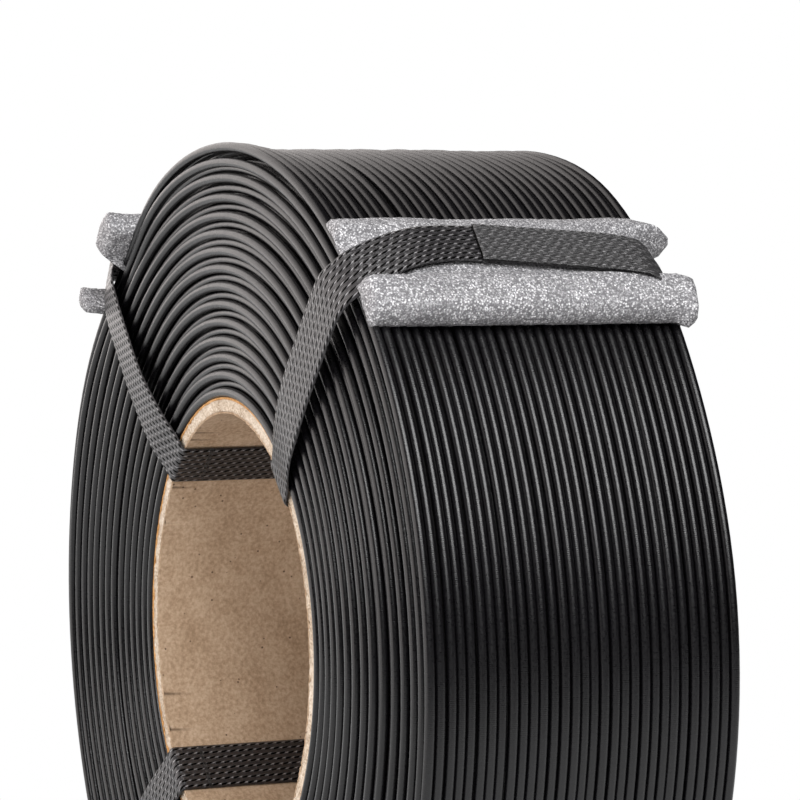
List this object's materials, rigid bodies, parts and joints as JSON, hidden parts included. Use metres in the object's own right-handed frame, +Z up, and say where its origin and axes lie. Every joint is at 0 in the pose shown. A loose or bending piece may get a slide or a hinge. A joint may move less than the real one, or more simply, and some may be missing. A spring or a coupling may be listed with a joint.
{
  "type": "filament refill coil",
  "caption": "Coil of printer filament wound on a bare paperboard core tube, held by woven straps over foam pads; a refill for a reusable spool.",
  "frame": {"origin": "middle of the flat at the bottom of the rim, on which the coil stands", "axes": "+Y along the coil's axis, away from the side that the picture shows; +Z up"},
  "size_m": [0.1784, 0.067, 0.1783],
  "materials": {
    "kraft_liner": "matt kraft paper with flecks",
    "core_board": "cut grey board, fibrous",
    "tan_liner": "tan paper ply",
    "filament": "black, satin",
    "webbing": "black woven polyester strap",
    "foam": "light grey closed-cell foam"
  },
  "bodies": {
    "root": {"core_inner_liner": "kraft_liner", "core_board": "core_board", "core_outer_liner": "tan_liner", "wound_body": "filament", "outer_layer": "filament", "strap_upper_right": "webbing", "strap_upper_left": "webbing", "strap_lower_left": "webbing", "strap_lower_right": "webbing", "foam_pad_upper_right": "foam", "foam_pad_upper_left": "foam", "foam_pad_lower_left": "foam", "foam_pad_lower_right": "foam"}
  },
  "joints": []
}
